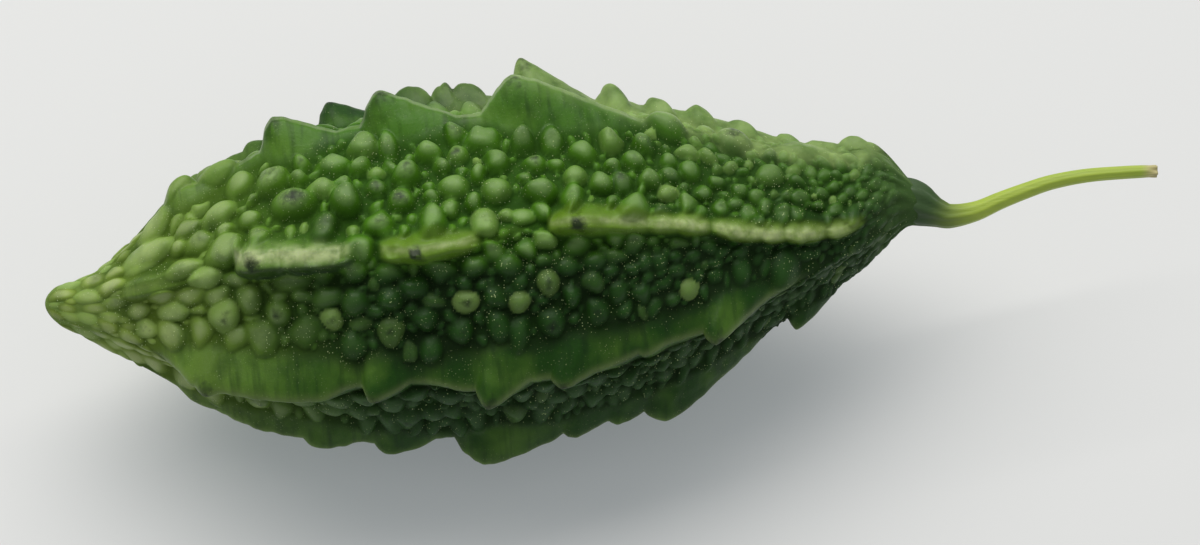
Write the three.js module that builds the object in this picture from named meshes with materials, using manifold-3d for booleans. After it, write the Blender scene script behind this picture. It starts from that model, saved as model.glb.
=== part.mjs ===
// Bitter gourd: one small spindle-shaped fruit with its stalk, as picked, lying on a flat surface.
// Millimetres, +Z up. The fruit lies along X, with the pointed blossom end at -X and the stalk at +X.
// The origin is on the surface that it lies on, under the middle of its bounding box.
import * as THREE from "three";
import { mergeVertices } from "three/addons/utils/BufferGeometryUtils.js";
import Module from "manifold-3d";

// Driving dimensions
const FRUIT_LENGTH = 119; // blossom tip to the face that the stalk grows from
const AXIS_HEIGHT = 22.4; // the fruit's axis above the surface
const TIP_ROUND = 2.4; // length over which the blossom tip is rounded off
const STATION_STEP = 1.55; // spacing of the rings along the fruit
const CREST_HALF_WIDTH = 1.1; // the narrow top of a ridge
const WIDEST_CREST = 0.12; // most of the pitch between ridges that half a crest takes
const WIDEST_FACE = 0.34; // and that a ridge's face takes
const LOW_FACE = 0.35; // a ridge without height has this share of its face's width,
const FACE_GROWTH = 0.14; // and this much more for each millimetre of height
const CREST_SHOULDER = 0.62; // share of a ridge's height at the edge of its crest
const FOOT_SHARE = 0.04; // and at its foot
const TOOTH_LEAN = 0.35; // a tooth's tip leans to the blossom end by this share of its height
const TOOTH_FRONT = 0.5; // a tooth's steep front is this share of its back slope in length
const FULL_LEAN_HEIGHT = 4; // teeth that are lower lean less
const TOOTH_TIP_ROUND = 1;
const FULL_RIDGE_RADIUS = 12; // where the fruit is thinner than this, its ridges are lower
const RIDGE_RUN_OUT = 6; // the ridges run out over this length before the stalk
const TOOTH_RUN_OUT = 1.6; // the teeth run out this much later than the rim
const STALK_GAP = 0.3; // clearance between the fruit's face and the stalk's foot
const STALK_SIDES = 18;
const STALK_RINGS = 30;
const STALK_FOOT = 0.15; // share of the stalk's length over which it turns away from the fruit's face

// Radius of the skin between the ridges: [distance from the blossom tip, radius]
const BODY_PROFILE = [
  [0, 2.1],
  [2.4, 2.7],
  [7, 4.5],
  [13, 7.8],
  [20, 11.9],
  [29, 16.3],
  [40, 19.1],
  [52, 20.1],
  [62, 20.3],
  [72, 19.7],
  [82, 17.8],
  [92, 14.4],
  [100, 11.2],
  [106, 9],
  [111.5, 7.2],
  [114.5, 5.8],
  [117.2, 4.1],
  [FRUIT_LENGTH, 2.9],
];

// The fruit is slightly bowed: [distance from the blossom tip, sideways offset of its centreline]
const BOW = [
  [0, 0],
  [7, -0.9],
  [14, -0.9],
  [30, -0.5],
  [60, -1.2],
  [85, -1],
  [100, 0.3],
  [106, 0.9],
  [111.5, 1.9],
  [115, 2.8],
  [117.2, 2.7],
  [FRUIT_LENGTH, 1.9],
];
const BOW_RISE = 0.3; // the centreline rises by this share of its sideways offset

// The eight ridges, listed going down the front of the fruit and up its back.
// angle: 0 faces the front (-Y) and 90 faces up. wander: [distance, degrees added].
// tilt: sideways lean for its height. face: from the crest to the foot, round the fruit.
// edge: below 1 the teeth are lobes, above 1 they are hollow-sided.
// crest: [distance, height of the rim between the teeth]
// teeth: [distance of the tip from the blossom end, height, length of the back slope]
const RIDGES = [
  {
    name: "back upper",
    angle: 158,
    tilt: 0,
    edge: 1.1,
    face: 4.6,
    wander: [[0, 0], [60, 0], [100, -6], [119, -10]],
    crest: [[0, 0.2], [9, 0.4], [15, 2.4], [30, 3], [40, 2.6], [47, 3.6], [60, 3.6], [68, 3],
      [88, 3], [101, 2.2], [119, 1.6]],
    teeth: [[22, 3.2, 8], [30.4, 3.6, 8], [42.6, 5.6, 9], [50, 4, 8], [58.6, 4.4, 9],
      [70.4, 8.7, 10], [80.4, 3.8, 12], [91.2, 2.6, 10], [101, 2, 9], [107, 2.3, 9],
      [112.5, 3.4, 9], [115.5, 4.2, 8]],
  },
  {
    name: "top",
    angle: 122,
    tilt: 0.12,
    edge: 1.1,
    face: 5.2,
    wander: [[0, 0], [30, 3], [60, 1], [90, 0], [119, 0]],
    crest: [[0, 0.4], [10, 0.6], [18, 1.6], [50, 2.2], [80, 1.8], [92, 1], [119, 1.4]],
    teeth: [[20.5, 3, 11], [35.2, 5.4, 10], [49.7, 6.2, 12], [68, 7.2, 18], [103.7, 2.2, 10],
      [114, 2, 8]],
  },
  {
    name: "front upper",
    angle: 70,
    tilt: -0.35,
    edge: 0.5,
    face: 2.6,
    wander: [[0, 4], [14, 2], [30, 1], [41, -1.5], [57, -1], [66, 2], [73, 3.5], [80, 1], [88, -2],
      [96, -10], [102, -15], [109, -20], [115, -16], [119, -8]],
    crest: [[0, 0.8], [26, 0.3], [44, 0.3], [57, 0.9], [64, 0.9], [67, 0.5], [80, 1.3], [88, 1.3],
      [108, 1.2], [119, 0.8]],
    teeth: [[13.8, 2.2, 7], [30.3, 4, 6], [34.8, 3.7, 5], [38, 3.2, 4], [48.6, 2.9, 5],
      [51.4, 4.1, 7], [72.8, 4.2, 9], [82.5, 2.4, 5], [86.2, 2.8, 3], [92.5, 2.7, 6],
      [97.4, 2.5, 3], [101.5, 2.6, 5], [107, 2.2, 4]],
  },
  {
    name: "front lower",
    angle: 22,
    tilt: -0.5,
    edge: 1.2,
    face: 6.6,
    wander: [[0, 0], [60, 0], [75, 2], [92, 4], [105, 6], [119, 6]],
    crest: [[0, 1], [13, 1.2], [18, 3.2], [22, 4.6], [37, 4.2], [41, 2.4], [50, 2.2], [56, 3.4],
      [64, 3.2], [72, 3.8], [80, 2.6], [88, 3], [92, 3], [97, 2.2], [103, 1.5], [112, 0.9],
      [119, 0.8]],
    teeth: [[22.7, 5.4, 11], [44.2, 4.4, 7], [59.7, 6, 9], [69.5, 5.2, 11], [80, 3.4, 8],
      [90.5, 5.6, 10]],
  },
  {
    name: "under front",
    angle: -24,
    tilt: -0.08,
    edge: 0.6,
    face: 4.6,
    wander: [[0, 0], [40, 0], [80, 2], [119, 4]],
    crest: [[0, 1.2], [20, 2.4], [30, 3.4], [40, 3], [50, 2.2], [80, 2], [92, 1.4], [119, 0.8]],
    teeth: [[20, 2.8, 9], [27, 2.8, 8], [36, 4.4, 8], [45.5, 4.2, 7], [59.3, 6.2, 12],
      [71, 4.2, 8], [77, 4.2, 7], [84.6, 6.2, 12], [89, 4.2, 8], [102.5, 3.8, 4]],
  },
  {
    name: "bearing front",
    angle: -68.5,
    tilt: 0,
    edge: 1,
    face: 4.2,
    wander: [[0, 0], [60, 1], [119, 0]],
    crest: [[0, 1.8], [119, 1.8]],
    teeth: [[23, 3.4, 8], [38, 6.2, 10], [53, 4.2, 9], [67, 3.8, 8], [81, 6.8, 11], [98, 2.8, 6]],
  },
  {
    name: "bearing back",
    angle: -113,
    tilt: 0,
    edge: 1,
    face: 4.2,
    wander: [[0, 0], [60, -1], [119, 0]],
    crest: [[0, 1.8], [119, 1.8]],
    teeth: [[29, 4, 9], [45, 5.9, 11], [61, 4.3, 9], [77, 6.4, 11], [93, 3.8, 9], [105, 2.2, 7]],
  },
  {
    name: "back lower",
    angle: -157.5,
    tilt: 0.08,
    edge: 1.1,
    face: 4.4,
    wander: [[0, 0], [40, 2], [80, -2], [119, 0]],
    crest: [[0, 1.8], [119, 1.8]],
    teeth: [[24, 4.2, 9], [40, 6.4, 11], [56, 4.8, 9], [72, 7, 13], [89, 4.2, 10], [103, 2.6, 8]],
  },
];

// The stalk's centreline: [distance from the fruit's face, y, z above the fruit's axis]
const STALK_PATH = [
  [STALK_GAP, 1.4, 0.5],
  [1.8, 0.6, 0.3],
  [3, 0.1, 0.05],
  [4.7, -0.4, -0.2],
  [8.3, 0, 0],
  [11.9, 1, 0.5],
  [15.5, 1.9, 0.9],
  [19.1, 2.6, 1.3],
  [24, 3, 1.5],
  [29.6, 2.9, 1.5],
  [34, 2.7, 1.4],
];
// Its radius: [share of its length, radius]
const STALK_PROFILE = [
  [0, 2.8],
  [0.045, 2.4],
  [0.08, 2],
  [0.13, 1.65],
  [0.235, 1.35],
  [0.35, 1.18],
  [0.6, 1],
  [0.8, 0.9],
  [0.95, 0.85],
  [1, 0.75],
];

// A smooth curve through points [x, value], level beyond its ends.
function smoothThrough(points, x) {
  const last = points.length - 1;
  if (x <= points[0][0]) return points[0][1];
  if (x >= points[last][0]) return points[last][1];
  const i = points.findIndex((p) => p[0] > x) - 1;
  const slope = (k) => {
    const before = points[Math.max(k - 1, 0)];
    const after = points[Math.min(k + 1, last)];
    return (after[1] - before[1]) / (after[0] - before[0]);
  };
  const width = points[i + 1][0] - points[i][0];
  const u = (x - points[i][0]) / width;
  const u2 = u * u;
  const u3 = u2 * u;
  return (
    (2 * u3 - 3 * u2 + 1) * points[i][1] +
    (u3 - 2 * u2 + u) * width * slope(i) +
    (3 * u2 - 2 * u3) * points[i + 1][1] +
    (u3 - u2) * width * slope(i + 1)
  );
}

// Radius of the skin between the ridges, rounded off at the blossom tip.
function bodyRadius(x) {
  const inTip = Math.min(x / TIP_ROUND, 1);
  return smoothThrough(BODY_PROFILE, x) * Math.sqrt(1 - (1 - inTip) ** 2);
}

// Centre of the fruit's section at x, as [y, z].
function centreAt(x) {
  const bow = smoothThrough(BOW, x);
  return [bow, AXIS_HEIGHT + BOW_RISE * bow];
}

// Height of a ridge's crest above the skin at x: a low rim with teeth that are steep towards the blossom end.
function crestHeight(ridge, x) {
  const runOut = Math.min(1, (FRUIT_LENGTH - x) / RIDGE_RUN_OUT);
  const fade = Math.min(1, bodyRadius(x) / FULL_RIDGE_RADIUS) * runOut;
  const teeth = ridge.teeth.map(([tip, height, back]) => {
    const along = x - tip;
    const reach = along < 0 ? back * TOOTH_FRONT : back;
    const rounded = Math.hypot(along, TOOTH_TIP_ROUND) - TOOTH_TIP_ROUND;
    return height * Math.max(0, 1 - rounded / reach) ** ridge.edge;
  });
  const rim = smoothThrough(ridge.crest, x) * fade;
  return Math.max(rim, ...teeth.map((h) => h * Math.min(1, fade * TOOTH_RUN_OUT)));
}

// The crest's angle at x, in radians.
function ridgeAngle(ridge, x) {
  return THREE.MathUtils.degToRad(ridge.angle + smoothThrough(ridge.wander, x));
}

// The six columns of points that carry one ridge and the valley after it, going round at x:
// each has its angle and the share of the crest's height that it stands at.
function ridgeColumns(index, x) {
  const ridge = RIDGES[index];
  const angle = ridgeAngle(ridge, x);
  const isLast = index === RIDGES.length - 1;
  const next = ridgeAngle(RIDGES[(index + 1) % RIDGES.length], x) - (isLast ? 2 * Math.PI : 0);
  const pitch = (2 * Math.PI) / RIDGES.length;
  const radius = Math.max(bodyRadius(x), 0.5);
  const face = ridge.face * Math.min(1, LOW_FACE + FACE_GROWTH * crestHeight(ridge, x));
  const foot = Math.min(face / radius, WIDEST_FACE * pitch);
  const crest = Math.min(CREST_HALF_WIDTH / radius, WIDEST_CREST * pitch, foot / 2);
  return [
    { angle: angle + foot, share: FOOT_SHARE },
    { angle: angle + crest, share: CREST_SHOULDER },
    { angle, share: 1 },
    { angle: angle - crest, share: CREST_SHOULDER },
    { angle: angle - foot, share: FOOT_SHARE },
    { angle: (angle + next) / 2, share: 0 },
  ];
}

// One point of the fruit's surface.
function skinPoint(ridgeIndex, column, x) {
  const ridge = RIDGES[ridgeIndex];
  const { angle, share } = ridgeColumns(ridgeIndex, x)[column];
  const height = crestHeight(ridge, x) * share;
  const radius = bodyRadius(x) + height;
  const sideways = ridge.tilt * height;
  const [y, z] = centreAt(x);
  return new THREE.Vector3(
    x - TOOTH_LEAN * height * Math.min(1, height / FULL_LEAN_HEIGHT),
    y - Math.cos(angle) * radius + Math.sin(angle) * sideways,
    z + Math.sin(angle) * radius + Math.cos(angle) * sideways,
  );
}

// A lathe of rings round X, closed by a point at each end, whose every ring point is then put in place.
function ringSolid(xs, columns, pointAt) {
  const outline = [
    new THREE.Vector2(0, xs[0]),
    ...xs.slice(1, -1).map((x) => new THREE.Vector2(1, x)),
    new THREE.Vector2(0, xs[xs.length - 1]),
  ];
  const geometry = new THREE.LatheGeometry(outline, columns);
  const position = geometry.getAttribute("position");
  for (let column = 0; column <= columns; column++)
    for (let ring = 0; ring < xs.length; ring++) {
      const p = pointAt(xs[ring], column % columns, ring);
      position.setXYZ(column * xs.length + ring, p.x, p.y, p.z);
    }
  geometry.deleteAttribute("normal");
  geometry.deleteAttribute("uv");
  return mergeVertices(geometry, 1e-4);
}

function fruitGeometry() {
  const columnsPerRidge = ridgeColumns(0, 0).length;
  const tipRings = [0, 0.15, 0.6, 1.4];
  const count = Math.round((FRUIT_LENGTH - 2 * STATION_STEP) / STATION_STEP);
  const xs = [...tipRings];
  for (let i = 0; i <= count; i++)
    xs.push(2 * STATION_STEP + ((FRUIT_LENGTH - 2 * STATION_STEP) * i) / count);
  xs.push(FRUIT_LENGTH);
  const [endY, endZ] = centreAt(FRUIT_LENGTH);
  return ringSolid(xs, RIDGES.length * columnsPerRidge, (x, column, ring) =>
    ring === xs.length - 1
      ? new THREE.Vector3(FRUIT_LENGTH, endY, endZ)
      : skinPoint(Math.floor(column / columnsPerRidge), column % columnsPerRidge, x),
  );
}

// The teeth that the fruit rests on are pressed flat: everything below the surface is cut away.
function pressedFlat(geometry, wasm) {
  const solidOf = (g) =>
    new wasm.Manifold(
      new wasm.Mesh({
        numProp: 3,
        vertProperties: g.getAttribute("position").array,
        triVerts: new Uint32Array(g.index.array),
      }),
    );
  const below = new THREE.BoxGeometry(2 * FRUIT_LENGTH, FRUIT_LENGTH, AXIS_HEIGHT);
  below.translate(FRUIT_LENGTH / 2, 0, -AXIS_HEIGHT / 2);
  below.deleteAttribute("normal");
  below.deleteAttribute("uv");
  const cut = solidOf(geometry).subtract(solidOf(mergeVertices(below, 1e-4))).getMesh();
  const positions = new Float32Array(cut.vertProperties);
  return new THREE.BufferGeometry()
    .setAttribute("position", new THREE.BufferAttribute(positions, 3))
    .setIndex(new THREE.BufferAttribute(new Uint32Array(cut.triVerts), 1));
}

// The stalk: a round tapering bar that follows its curve.
function stalkGeometry() {
  const curve = new THREE.CatmullRomCurve3(
    STALK_PATH.map(([x, y, z]) => new THREE.Vector3(FRUIT_LENGTH + x, y, AXIS_HEIGHT + z)),
  );
  const shares = [0];
  for (let i = 0; i <= STALK_RINGS; i++) shares.push(i / STALK_RINGS);
  shares.push(1);
  const up = new THREE.Vector3(0, 0, 1);
  return ringSolid(shares, STALK_SIDES, (share, column, ring) => {
    const centre = curve.getPointAt(share);
    if (ring === 0 || ring === shares.length - 1) return centre;
    // The foot stands flat on the fruit's face, which is square to X.
    const turned = Math.min(1, share / STALK_FOOT);
    const along = new THREE.Vector3(1, 0, 0).lerp(curve.getTangentAt(share), turned).normalize();
    const side = new THREE.Vector3().crossVectors(up, along).normalize();
    const top = new THREE.Vector3().crossVectors(along, side);
    const turn = (2 * Math.PI * column) / STALK_SIDES;
    const radius = smoothThrough(STALK_PROFILE, share);
    return centre
      .addScaledVector(side, radius * Math.cos(turn))
      .addScaledVector(top, radius * Math.sin(turn));
  });
}

const wasm = await Module();
wasm.setup();

const skin = new THREE.MeshStandardMaterial({ color: 0x3f6b27, roughness: 0.42, metalness: 0 });
const fruit = new THREE.Mesh(pressedFlat(fruitGeometry(), wasm), skin);
fruit.name = "fruit";

const stalkSkin = new THREE.MeshStandardMaterial({ color: 0x9aad3c, roughness: 0.5, metalness: 0 });
const stalk = new THREE.Mesh(stalkGeometry(), stalkSkin);
stalk.name = "stalk";

const gourd = new THREE.Group();
gourd.add(fruit, stalk);
const middle = new THREE.Box3().setFromObject(gourd).getCenter(new THREE.Vector3());
gourd.position.set(-middle.x, -middle.y, 0);

export default gourd;
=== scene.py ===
"""Bitter gourd: the looks of one small warty fruit and its stalk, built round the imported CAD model.

Lengths in the tables are millimetres, measured along the fruit from its blossom tip and outwards from its
axis, as in the CAD model. Angles in the tables are degrees round the axis: 0 faces the front (-Y), 90 faces up.
"""

import math

import bpy
import numpy as np
from mathutils import Matrix, Vector


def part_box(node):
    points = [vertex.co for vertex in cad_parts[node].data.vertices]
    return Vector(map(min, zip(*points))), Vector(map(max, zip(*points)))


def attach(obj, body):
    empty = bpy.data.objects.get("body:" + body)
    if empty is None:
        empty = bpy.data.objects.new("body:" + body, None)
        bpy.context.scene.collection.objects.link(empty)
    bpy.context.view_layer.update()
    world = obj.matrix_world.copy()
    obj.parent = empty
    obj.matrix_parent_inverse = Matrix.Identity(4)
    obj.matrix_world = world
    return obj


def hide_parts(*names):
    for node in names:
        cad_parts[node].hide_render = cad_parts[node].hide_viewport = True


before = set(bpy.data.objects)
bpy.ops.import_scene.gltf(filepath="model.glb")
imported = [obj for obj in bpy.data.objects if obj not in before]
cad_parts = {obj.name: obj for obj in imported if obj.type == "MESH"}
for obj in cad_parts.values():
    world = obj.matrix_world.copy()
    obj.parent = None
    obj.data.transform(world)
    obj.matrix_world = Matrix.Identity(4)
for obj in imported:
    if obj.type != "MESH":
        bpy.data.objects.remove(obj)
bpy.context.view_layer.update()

MM = 0.001
TAU = 2 * math.pi

# The fruit's length and place come from the frame: its blossom tip is the CAD node's vertex furthest along -X.
fruit_low, fruit_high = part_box("fruit")
FRUIT_LENGTH = (fruit_high.x - fruit_low.x) / MM
TIP = min((v.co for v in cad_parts["fruit"].data.vertices), key=lambda co: co.x).copy()

# --- The fruit's form, as the CAD model has it ---------------------------------------------------------------

TIP_ROUND = 2.4  # length over which the blossom tip is rounded off
LOW_FACE = 0.35  # a ridge without height has this share of its face's width,
FACE_GROWTH = 0.14  # and this much more for each millimetre of height
WIDEST_FACE = 0.34  # most of the pitch between ridges that a face takes
WIDEST_CREST = 0.08  # and that half a flat crest takes
TOOTH_LEAN = 0.35  # a tooth's tip leans to the blossom end by this share of its height
FULL_LEAN_HEIGHT = 4  # teeth that are lower lean less
TOOTH_FRONT = 0.5  # a tooth's steep front is this share of its back slope in length
TOOTH_TIP_ROUND = 1.0
FULL_RIDGE_RADIUS = 12  # where the fruit is thinner than this, its ridges are lower
RIDGE_RUN_OUT = 6  # the ridges run out over this length before the stalk
TOOTH_RUN_OUT = 1.6  # the teeth run out this much later than the rim
BOW_RISE = 0.3  # the centreline rises by this share of its sideways offset
THINNEST = 0.5  # the least radius with which a width round the fruit is turned into an angle
FULL_LIFT_RADIUS = 3  # where the fruit is thinner than this, nothing stands out at its full height,
FULL_GRAIN_RADIUS = 6  # nor does its grain here,
FULL_SWELLING_RADIUS = 10  # nor do its swellings and the wandering of its warts' outlines here

BODY_PROFILE = (
    (0, 2.1), (2.4, 2.7), (7, 4.5), (13, 7.8), (20, 11.9), (29, 16.3), (40, 19.1), (52, 20.1), (62, 20.3),
    (72, 19.7), (82, 17.8), (92, 14.4), (100, 11.2), (106, 9), (111.5, 7.2), (114.5, 5.8), (117.2, 4.1),
    (FRUIT_LENGTH, 2.9),
)
BOW = (
    (0, 0), (7, -0.9), (14, -0.9), (30, -0.5), (60, -1.2), (85, -1.0), (100, 0.3), (106, 0.9), (111.5, 1.9),
    (115, 2.8), (117.2, 2.7), (FRUIT_LENGTH, 1.9),
)

# The eight ridges. teeth: (distance of the tip, height, length of the back slope). crest: the rim between them.
# edge: below 1 the teeth are lobes, above 1 they are hollow-sided. plateau: half the width of a flat crest.
# narrow: (distance, share of the plateau's width). face: from the crest's edge to the ridge's foot.
# tilt: how far it leans over, for its height. dark: how dark the tips of its large teeth are.
RIDGES = (
    dict(angle=158, tilt=0, edge=1.1, plateau=0.4, face=4.6, dark=0.7,
         wander=((0, 0), (60, 0), (100, -6), (119, -10)),
         crest=((0, 0.2), (9, 0.4), (15, 2.4), (30, 3), (40, 2.6), (47, 3.6), (60, 3.6), (68, 3), (88, 3),
                (101, 2.2), (119, 1.6)),
         teeth=((22, 3.2, 8), (30.4, 3.6, 8), (42.6, 5.6, 9), (50, 4, 8), (58.6, 4.4, 9), (70.4, 8.7, 10),
                (80.4, 3.8, 12), (91.2, 2.6, 10), (101, 2, 9), (107, 2.3, 9), (112.5, 3.4, 9),
                (115.5, 4.2, 8))),
    dict(angle=122, tilt=0.12, edge=1.1, plateau=0.5, face=5.2, dark=0.7,
         wander=((0, 0), (30, 3), (60, 1), (90, 0), (119, 0)),
         crest=((0, 0.4), (10, 0.6), (18, 1.6), (50, 2.2), (80, 1.8), (92, 1), (119, 1.4)),
         teeth=((20.5, 3, 11), (35.2, 5.4, 10), (49.7, 6.2, 12), (68, 7.2, 18), (103.7, 2.2, 10),
                (114, 2, 8))),
    dict(angle=70, tilt=-0.35, edge=0.5, plateau=0.9, face=2.6, dark=1.3,
         narrow=((0, 1), (42, 1), (50, 0.6), (76, 0.5), (84, 0.4), (100, 0.3), (119, 0.1)),
         wander=((0, 4), (14, 2), (30, 1), (41, -1.5), (57, -1), (66, 2), (73, 3.5), (80, 1), (88, -2),
                 (96, -10), (102, -15), (109, -20), (115, -16), (119, -8)),
         crest=((0, 0.8), (26, 0.3), (44, 0.3), (57, 0.9), (64, 0.9), (67, 0.5), (80, 1.3), (88, 1.3),
                (108, 1.2), (119, 0.8)),
         teeth=((13.8, 2.2, 7), (30.3, 4, 6), (34.8, 3.7, 5), (38, 3.2, 4), (48.6, 2.9, 5), (51.4, 4.1, 7),
                (72.8, 4.2, 9), (82.5, 2.4, 5), (86.2, 2.8, 3), (92.5, 2.7, 6), (97.4, 2.5, 3),
                (101.5, 2.6, 5), (107, 2.2, 4))),
    dict(angle=22, tilt=-0.5, edge=1.2, plateau=0.1, face=6.6, dark=0.8,
         wander=((0, 0), (60, 0), (75, 2), (92, 4), (105, 6), (119, 6)),
         crest=((0, 1), (13, 1.2), (18, 3.2), (22, 4.6), (37, 4.2), (41, 2.4), (50, 2.2), (56, 3.4), (64, 3.2),
                (72, 3.8), (80, 2.6), (88, 3), (92, 3), (97, 2.2), (103, 1.5), (112, 0.9), (119, 0.8)),
         teeth=((22.7, 5.4, 11), (44.2, 4.4, 7), (59.7, 6, 9), (69.5, 5.2, 11), (80, 3.4, 8),
                (90.5, 5.6, 10))),
    dict(angle=-24, tilt=-0.08, edge=0.6, plateau=0.1, face=4.6, dark=0,
         wander=((0, 0), (40, 0), (80, 2), (119, 4)),
         crest=((0, 1.2), (20, 2.4), (30, 3.4), (40, 3), (50, 2.2), (80, 2), (92, 1.4), (119, 0.8)),
         teeth=((20, 2.8, 9), (27, 2.8, 8), (36, 4.4, 8), (45.5, 4.2, 7), (59.3, 6.2, 12), (71, 4.2, 8),
                (77, 4.2, 7), (84.6, 6.2, 12), (89, 4.2, 8), (102.5, 3.8, 4))),
    dict(angle=-68.5, tilt=0, edge=1, plateau=0.3, face=4.2, dark=0.7,
         wander=((0, 0), (60, 1), (119, 0)),
         crest=((0, 1.8), (119, 1.8)),
         teeth=((23, 3.4, 8), (38, 6.2, 10), (53, 4.2, 9), (67, 3.8, 8), (81, 6.8, 11), (98, 2.8, 6))),
    dict(angle=-113, tilt=0, edge=1, plateau=0.3, face=4.2, dark=0.7,
         wander=((0, 0), (60, -1), (119, 0)),
         crest=((0, 1.8), (119, 1.8)),
         teeth=((29, 4, 9), (45, 5.9, 11), (61, 4.3, 9), (77, 6.4, 11), (93, 3.8, 9), (105, 2.2, 7))),
    dict(angle=-157.5, tilt=0.08, edge=1.1, plateau=0.2, face=4.4, dark=0.7,
         wander=((0, 0), (40, 2), (80, -2), (119, 0)),
         crest=((0, 1.8), (119, 1.8)),
         teeth=((24, 4.2, 9), (40, 6.4, 11), (56, 4.8, 9), (72, 7, 13), (89, 4.2, 10), (103, 2.6, 8))),
)
PITCH = TAU / len(RIDGES)
FULL_PLATEAU = ((0, 1), (1, 1))
PALE_RIDGE = 2
LOWEST_RIDGES = (5, 6)  # the mesh's seam runs between these, under the fruit

# --- The skin's fine form ------------------------------------------------------------------------------------

RING_STEP = 0.27
TIP_RINGS = 14
COLUMNS = 560
CROWDING = 1.6  # how much closer together the columns stand on the ridges' faces
CROWDED = (0.5, 1.15)  # shares of the ridge's half width between which the crowding eases off
ANGLE_SAMPLES = 1441
CREST_ROUND = 0.45
FACE_HOLLOW = 1.45  # above 1, a ridge's faces are hollow

# The warts of each valley, in the order of the ridges above them: largest radius, spacing for the radii, height
# for the radius, stretch round the fruit.
VALLEYS = (
    (2.0, 0.88, 1.00, 1.0),
    (2.7, 0.82, 1.20, 0.95),
    (2.1, 0.80, 0.75, 0.85),
    (2.0, 0.78, 0.90, 1.15),
    (1.9, 0.88, 0.90, 1.0),
    (1.9, 0.88, 0.90, 1.0),
    (1.9, 0.88, 0.90, 1.0),
    (2.0, 0.88, 1.00, 1.0),
)
# How the warts change along the fruit: (distance, share)
WART_SIZE = (
    (0, 0.4), (8, 0.55), (16, 0.8), (24, 0.95), (34, 1.05), (62, 1), (75, 0.85), (88, 0.58), (105, 0.46),
    (119, 0.38),
)
WART_RELIEF = (
    (0, 0.15), (7, 0.35), (14, 0.65), (22, 0.85), (32, 0.95), (75, 1), (95, 0.75), (110, 0.55), (119, 0.2),
)
WART_STRETCH = ((0, 1.8), (14, 1.5), (26, 1.2), (40, 1), (119, 1))
WART_CROWDING = ((0, 0.82), (18, 0.88), (32, 1), (88, 1), (102, 0.86), (119, 0.8))

SMALLEST_WART = 0.5
FEW_LARGE = 1.5  # the higher, the fewer of the scattered warts are large
WART_TRIES = 60000
WARTY = (1.5, FRUIT_LENGTH - 3)  # the stretch of the fruit that carries scattered warts
WIDEST_BODY = 20.5  # tries are thinned out where the fruit is narrower than this
WART_FREE_HEIGHT = 1.1  # no wart stands where a ridge is higher,
CROWDED_HEIGHT = 0.15  # and only small ones where it is higher than this
LARGEST_ON_FOOT = 2  # how much larger than the smallest a wart on a valley's floor may be
ROOM_ROUND_STANDING = 1.15

OUTLINE_DRIFT = 0.32  # how far the scattered warts' outlines wander,
STANDING_DRIFT = 0.12  # and the standing ones'
OUTLINE_WAVE = 3.6
MERGING = 3.0  # the lower, the more two warts that touch run into each other
WART_MARGIN = 1.2  # a wart is worked out within this many of its radii,
ANGLE_MARGIN = 1.25  # and round the fruit a little further,
LEAST_ANGLE = 0.02  # with this many radians to spare
OVAL = 0.06  # how far from round a wart's outline is, two-sided
THREE_SIDED = 0.03  # and three-sided
SOFT_BLUNT = 3  # the higher, the flatter a soft wart's top,
BLUNT = 2  # and any other's
SOFT_STEEP = (1.25, 1.6)  # the lower, the steeper a soft wart's sides,
STEEP = (0.7, 1.0)  # and any other's
SOFT_TONES = 0.45  # spread of the soft warts' tones,
TONES = 0.2  # and of the others'
DARKNESS = (0.25, 0.6)  # of a scattered wart's dark tip
SMALL_DOME = 0.5  # a tiny wart has this much of the painted sheen of a large one's top,
DOME_GROWTH = 0.35  # and this much more for each millimetre of radius
TONE_FOOT = 2.5  # the higher, the further down its side a wart's tone reaches
STRETCHES = (0.9, 1.2)  # spread of the scattered warts' lengths,
SPACINGS = (0.86, 1.06)  # of their spacing,
RELIEFS = (0.7, 1.15)  # and of their heights
SOFT_SIDE = math.radians(96)  # round this side the warts rise softly from the skin
SOFT_REACH = math.radians(30)
SOFT_TIP = 18  # and all round, up to this distance from the tip
STANDING_HEIGHT = 0.9  # of the standing warts, for their smaller radius
LARGE_WART = 1.0  # only larger ones get a dark tip
DARK_TIPS = 0.3  # the share of those that do
MARK_WIDTH = 0.45  # of a dark tip, for the wart's radius
MARKED_TOOTH = 3.9  # only teeth as high as this have a dark tip,
TOOTH_MARK = 0.7  # of this length,
TOOTH_MARK_GROWTH = 0.1  # this much longer for each millimetre of the tooth's height,
TOOTH_MARK_ROUND = 0.9  # this wide for its length,
TOOTH_MARK_DROP = 0.3  # and this far below the crest

# The skin's small relief: height, wavelength, and how it is squeezed in space.
SWELLINGS = (0.35, 14, (1, 1, 1))
GRAIN = (0.06, 1.6, (0.5, 1, 1))
CREASES = (0.08, 2.2, (1.6, 0.25, 0.25))
KNOBS = (0.3, 2.4, (1, 1, 1))
PLEAT_HEIGHT = 0.25
PLEATS = 17
PLEAT_SWAY = 1.2  # how much closer together they are in some places than in others,
PLEAT_SWAYS = 3  # and the number of those places
NECK_START = 108  # the skin darkens and pleats from here to the stalk,
PLEATS_END = (115.5, 118.5)  # and the pleats run out between these

# Heights of a ridge above the skin between which each look comes in.
FACE_HEIGHTS = (0.9, 2.4)
CREST_HEIGHTS = (1.2, 2.6)
BLOCK_HEIGHTS = (0.6, 1.8)
PALE_HEIGHTS = (1.1, 2.4)
YELLOW_HEIGHTS = (0.6, 2)
KNOB_HEIGHTS = (0.8, 2)

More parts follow.
